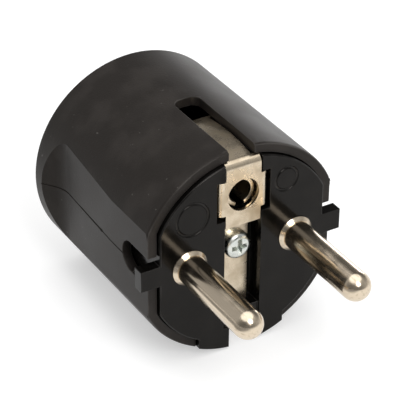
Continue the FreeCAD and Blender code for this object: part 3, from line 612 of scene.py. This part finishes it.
sheet_finish = new_finish("earth_satin_nickel", {"Metallic": 1.0})
sheet_nodes = sheet_finish.node_tree
stained = speckle(sheet_nodes, **STAIN_PATTERN)
sheet_colour = mottled(sheet_nodes, stained, STAINED_BETWEEN, SHEET_PALE, SHEET_DEEP)
sheet_facing = add_node(sheet_nodes, "ShaderNodeTexCoord", {}).outputs["Normal"]
facing_side = add_node(sheet_nodes, "ShaderNodeSeparateXYZ", {"Vector": sheet_facing}).outputs["X"]
facing_side = reckoned(sheet_nodes, "ABSOLUTE", facing_side)
sheared = graded(sheet_nodes, facing_side, SHEARED_BETWEEN, SHEARED_SHARES)
use(sheet_nodes, "Base Color", tinted(sheet_nodes, sheared, sheet_colour, SHEARED_BRASS))
use(sheet_nodes, "Roughness", graded(sheet_nodes, stained, METAL_GLOSS_BETWEEN, SHEET_ROUGHNESS))
relief(sheet_nodes, speckle(sheet_nodes, **ROLLED_PATTERN), ROLLED_DEPTH)
earth_contact = softened("earth_contact", SHEET_EDGE, reshape=sprung)
fit_piece(earth_contact, sheet_finish, "earth_contact")
earth_strap = softened("earth_strap", SHEET_EDGE)
fit_piece(earth_strap, sheet_finish, "earth_strap")

# The screws and the earth terminal's washer: steel with bright zinc plating that has a faint green cast
# and a slightly cloudy surface. The centre screw has a pan head with a cross recess. It alone shows on
# the face, and draws the carrier into the hood through the strap.
ZINC_COOL = (0.55, 0.575, 0.55, 1.0)
ZINC_PALE = (0.71, 0.72, 0.67, 1.0)
ZINC_ROUGHNESS = (0.2, 0.36)
ZINC_PATTERN = {"scale": 900.0, "detail": 4.0}
ZINC_DEPTH = 0.00001
ZINC_PALE_BETWEEN = (0.35, 0.65)
SCREW_SHARP_FROM = 30
SCREW_TOP = 0.0008
SCREW_SEAT = 0.0024
SCREW_END = 0.0254
SCREW_HEAD = 0.0023
SCREW_SHANK = 0.00145
SCREW_BEVEL = 0.0003
PAN_FLAT = 0.0012
PAN_CROWN = 0.00008
PAN_SIDE = 0.0017
PAN_STEPS = 10

# The cross recess at its mouth and at its floor: its depth, the reach of its arms and half their width.
RECESS_MOUTH = (0.0005, 0.0017, 0.00047)
RECESS_FLOOR = (0.0018, 0.0007, 0.0002)
CROSS_ARMS = 4


def cross_outline(depth, arm, half_width):
    """Return the corners of the cross recess at one depth."""
    outline = []
    for arm_number in range(CROSS_ARMS):
        turn = Matrix.Rotation(-math.tau / CROSS_ARMS * arm_number, 3, "Y")
        for x, z in ((half_width, half_width), (half_width, arm), (-half_width, arm)):
            outline.append(tuple(turn @ Vector((x, depth, z))))
    return outline


def coat(finish, *node_names):
    """Give nodes that stay as they are their finish."""
    for name in node_names:
        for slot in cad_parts[name].material_slots:
            slot.material = finish


zinc_finish = new_finish("screw_bright_zinc", {"Metallic": 1.0})
zinc_nodes = zinc_finish.node_tree
cloudy = speckle(zinc_nodes, **ZINC_PATTERN)
use(zinc_nodes, "Base Color", mottled(zinc_nodes, cloudy, ZINC_PALE_BETWEEN, ZINC_COOL, ZINC_PALE))
use(zinc_nodes, "Roughness", graded(zinc_nodes, cloudy, METAL_GLOSS_BETWEEN, ZINC_ROUGHNESS))
relief(zinc_nodes, cloudy, ZINC_DEPTH)

pan_drop = PAN_SIDE - SCREW_TOP - PAN_CROWN
screw_profile = [(0.0, SCREW_TOP)]
for sine, cosine in quarter_round(PAN_STEPS):
    screw_profile.append((PAN_FLAT + (SCREW_HEAD - PAN_FLAT) * sine, PAN_SIDE - pan_drop * cosine))
screw_profile += [
    (SCREW_HEAD, SCREW_SEAT),
    (SCREW_SHANK, SCREW_SEAT),
    (SCREW_SHANK, SCREW_END - SCREW_BEVEL),
    (SCREW_SHANK - SCREW_BEVEL, SCREW_END),
    (0.0, SCREW_END),
]
recess = [cross_outline(*RECESS_MOUTH), cross_outline(*RECESS_FLOOR)]
centre_screw = turned("centre_screw_finished", screw_profile, 0.0, 0.0, zinc_finish)
carve(centre_screw, [cutter_through("cross_cutter", recess)])
shade(centre_screw, SCREW_SHARP_FROM)
fit_piece(centre_screw, zinc_finish, "centre_screw")
coat(
    zinc_finish,
    "terminal_screw_left",
    "terminal_screw_right",
    "earth_terminal_screw",
    "earth_terminal_washer",
    "cord_clamp_screw_left",
    "cord_clamp_screw_right",
)

# The terminal blocks and the threaded bush: the blocks are sawn from drawn brass bar and drilled,
# and are pressed on the pins' tails. The bush is turned brass, pressed into the hood's boss.
# All three keep the bare metal, slightly tarnished, with the marks of the saw.
BRASS_CLEAN = (0.74, 0.56, 0.26, 1.0)
BRASS_TARNISHED = (0.52, 0.36, 0.15, 1.0)
BRASS_ROUGHNESS = (0.24, 0.42)
TARNISH_PATTERN = {"scale": 500.0, "detail": 5.0}
SAWN_PATTERN = {"scale": 2400.0, "detail": 2.0, "stretch": (1.0, 1.0, 0.05)}
SAWN_DEPTH = 0.000006
TARNISHED_BETWEEN = (0.4, 0.7)

brass_finish = new_finish("terminal_bare_brass", {"Metallic": 1.0})
brass_nodes = brass_finish.node_tree
tarnish = speckle(brass_nodes, **TARNISH_PATTERN)
brass_colour = mottled(brass_nodes, tarnish, TARNISHED_BETWEEN, BRASS_CLEAN, BRASS_TARNISHED)
use(brass_nodes, "Base Color", brass_colour)
use(brass_nodes, "Roughness", graded(brass_nodes, tarnish, METAL_GLOSS_BETWEEN, BRASS_ROUGHNESS))
relief(brass_nodes, speckle(brass_nodes, **SAWN_PATTERN), SAWN_DEPTH)
coat(brass_finish, "terminal_block_left", "terminal_block_right", "threaded_bush")

# The cord clamp: a small moulded bar with a hollow that presses on the cord's sheath.
# It is the same black as the hood but plainer, and two screws draw it down on the carrier's posts.
CLAMP_DARK = (0.014, 0.013, 0.0125, 1.0)
CLAMP_DULL = (0.03, 0.028, 0.027, 1.0)
CLAMP_ROUGHNESS = (0.42, 0.56)
CLAMP_FLOW_PATTERN = {"scale": 500.0, "detail": 4.0}
CLAMP_GRAIN_PATTERN = {"scale": 4000.0, "detail": 2.0}
CLAMP_GRAIN_DEPTH = 0.000008
CLAMP_GLOSS_BETWEEN = (0.3, 0.7)

clamp_finish = new_finish("clamp_plain_black", {})
clamp_nodes = clamp_finish.node_tree
clamp_flow = speckle(clamp_nodes, **CLAMP_FLOW_PATTERN)
use(clamp_nodes, "Base Color", mottled(clamp_nodes, clamp_flow, DULLED_BETWEEN, CLAMP_DARK, CLAMP_DULL))
use(clamp_nodes, "Roughness", graded(clamp_nodes, clamp_flow, CLAMP_GLOSS_BETWEEN, CLAMP_ROUGHNESS))
relief(clamp_nodes, speckle(clamp_nodes, **CLAMP_GRAIN_PATTERN), CLAMP_GRAIN_DEPTH)
coat(clamp_finish, "cord_clamp")

# The table: a plain pale sheet that runs out of sight, and keeps the plug's shadow.
# It is matt paint. Seen directly and in the metal it is lifted to the white of the background.
WHITE = (1.0, 1.0, 1.0, 1.0)
TABLE_PAINT = (0.62, 0.62, 0.62, 1.0)
TABLE_LIFT = 0.48
MATT_ROUGHNESS = 0.9
TABLE_LEVEL = solid_box[0][2]
TABLE_HALF = 4.0
TABLE_OUTLINE = [
    (-TABLE_HALF, -TABLE_HALF),
    (TABLE_HALF, -TABLE_HALF),
    (TABLE_HALF, TABLE_HALF),
    (-TABLE_HALF, TABLE_HALF),
]


def matt_finish(name, colour):
    """Start a finish of one matt colour with no gloss."""
    return new_finish(
        name,
        {"Base Color": colour, "Roughness": MATT_ROUGHNESS, "Specular IOR Level": 0.0},
    )


def flat_sheet(name, outline, level, finish):
    """Lay down a flat sheet for the studio, apart from the plug."""
    mesh = bpy.data.meshes.new(name)
    mesh.from_pydata([(x, y, level) for x, y in outline], [], [tuple(range(len(outline)))])
    mesh.materials.append(finish)
    sheet = put_in_scene(name, mesh)
    return sheet


table_finish = matt_finish("table_pale_paint", TABLE_PAINT)
table_nodes = table_finish.node_tree
surface_of(table_nodes).inputs["Emission Color"].default_value = WHITE
rays = add_node(table_nodes, "ShaderNodeLightPath", {}).outputs
shown = reckoned(table_nodes, "MAXIMUM", rays["Is Camera Ray"], rays["Is Glossy Ray"])
shown = reckoned(table_nodes, "MAXIMUM", shown, rays["Is Transmission Ray"])
use(table_nodes, "Emission Strength", reckoned(table_nodes, "MULTIPLY", shown, TABLE_LIFT))
flat_sheet("table", TABLE_OUTLINE, TABLE_LEVEL, table_finish)

# The studio: a pale room with a low window to the right behind the plug. A broad soft lamp hangs
# overhead, a smaller one stands high in front of the pins and a weak one by the window. A grey card
# lies on the table to the left, out of sight, to take the glare off the pins and the grip. It shows only
# in reflections, as a painted dark reflection, and neither shades nor lights anything.
WINDOW_LIGHT = 0.85
SIDE_WALL_LIGHT = 0.5
NEAR_WALL_LIGHT = 0.16
FAR_WALL_LIGHT = 0.14

# Each light changes with how far a direction goes towards the window, from -1 to 1.
# The window's light also fades with how far the direction goes up.
WINDOW_SIDE = (0.69, 0.72, 0.0)
WINDOW_BETWEEN = (0.0, 0.85)
NEAR_WALL_BETWEEN = (-0.8, 0.0)
FAR_WALL_BETWEEN = (0.1, 0.8)
WINDOW_TOP_BETWEEN = (0.1, 0.45)

CARD_GREY = (0.3, 0.3, 0.3, 1.0)
CARD_LIFT = 0.0005
CARD_OUTLINE = [
    (-0.042, -0.3),
    (-0.042, 0.02),
    (-0.05, 0.036),
    (-0.06, 0.07),
    (-0.1, 0.14),
    (-0.4, 0.14),
    (-0.4, -0.3),
]

# Each lamp has a name, a place, the point that it faces, its width and height, and its power in watts.
LAMPS = [
    ("lamp_above", (-0.04, 0.0, 0.55), (0.0, 0.0, 0.0), 0.9, 0.9, 2.75),
    ("lamp_behind", (0.25, 0.2, 0.04), (0.0, 0.01, 0.0), 0.16, 0.08, 0.09),
    ("lamp_front", (-0.03, -0.33, 0.31), (0.0, 0.0, 0.0), 0.22, 0.22, 1.0),
]

room = bpy.data.worlds.new("room")
bpy.context.scene.world = room
room.use_nodes = True
room_nodes = room.node_tree
direction = add_node(room_nodes, "ShaderNodeTexCoord", {}).outputs["Generated"]
room_height = add_node(room_nodes, "ShaderNodeSeparateXYZ", {"Vector": direction}).outputs["Z"]
to_window = add_node(
    room_nodes,
    "ShaderNodeVectorMath",
    {0: direction, 1: WINDOW_SIDE},
    operation="DOT_PRODUCT",
).outputs["Value"]
window = graded(room_nodes, to_window, WINDOW_BETWEEN, (0.0, WINDOW_LIGHT))
below_top = graded(room_nodes, room_height, WINDOW_TOP_BETWEEN, (1.0, 0.0))
window = reckoned(room_nodes, "MULTIPLY", window, below_top)
near_wall = graded(room_nodes, to_window, NEAR_WALL_BETWEEN, (NEAR_WALL_LIGHT, SIDE_WALL_LIGHT))
far_wall = graded(room_nodes, to_window, FAR_WALL_BETWEEN, (SIDE_WALL_LIGHT, FAR_WALL_LIGHT))
walls = reckoned(room_nodes, "MINIMUM", near_wall, far_wall)
room_light = room_nodes.nodes["Background"]
room_light.inputs["Color"].default_value = WHITE
room_nodes.links.new(reckoned(room_nodes, "ADD", window, walls), room_light.inputs["Strength"])

card_finish = matt_finish("card_matt_grey", CARD_GREY)
card = flat_sheet("grey_card", CARD_OUTLINE, TABLE_LEVEL + CARD_LIFT, card_finish)
# Only reflections see the card: it is a painted dark reflection that casts no shadow.
card.visible_camera = False
card.visible_diffuse = False
card.visible_shadow = False

for lamp_name, place, aim, width, height, power in LAMPS:
    light = bpy.data.lights.new(lamp_name, "AREA")
    light.shape = "ELLIPSE"
    light.size = width
    light.size_y = height
    light.energy = power
    lamp = put_in_scene(lamp_name, light)
    lamp.location = place
    lamp.rotation_euler = (Vector(aim) - Vector(place)).to_track_quat("-Z", "Y").to_euler()

# The camera: a long lens that looks down on the plug from the front left, with a slight lean.
# It is held by its place, the point that it faces and the direction of the picture's right side.
CAMERA_PLACE = Vector((-0.13377, -0.21014, 0.16747))
CAMERA_AIM = Vector((-0.00359, 0.00693, 0.00643))
CAMERA_RIGHT = Vector((0.8596, -0.511, 0.0061))
CAMERA_LENS = 175.89
CAMERA_SENSOR = 36.0
CAMERA_NEAREST = 0.005

camera_data = bpy.data.cameras.new("camera")
camera_data.lens = CAMERA_LENS
camera_data.sensor_width = CAMERA_SENSOR
camera_data.clip_start = CAMERA_NEAREST
camera = put_in_scene("camera", camera_data)
backwards = (CAMERA_PLACE - CAMERA_AIM).normalized()
rightwards = (CAMERA_RIGHT - backwards * CAMERA_RIGHT.dot(backwards)).normalized()
upright = backwards.cross(rightwards)
camera_turn = Matrix((rightwards, upright, backwards)).transposed()
camera.matrix_world = Matrix.Translation(CAMERA_PLACE) @ camera_turn.to_4x4()
bpy.context.scene.camera = camera
bpy.context.scene.view_settings.view_transform = "Standard"
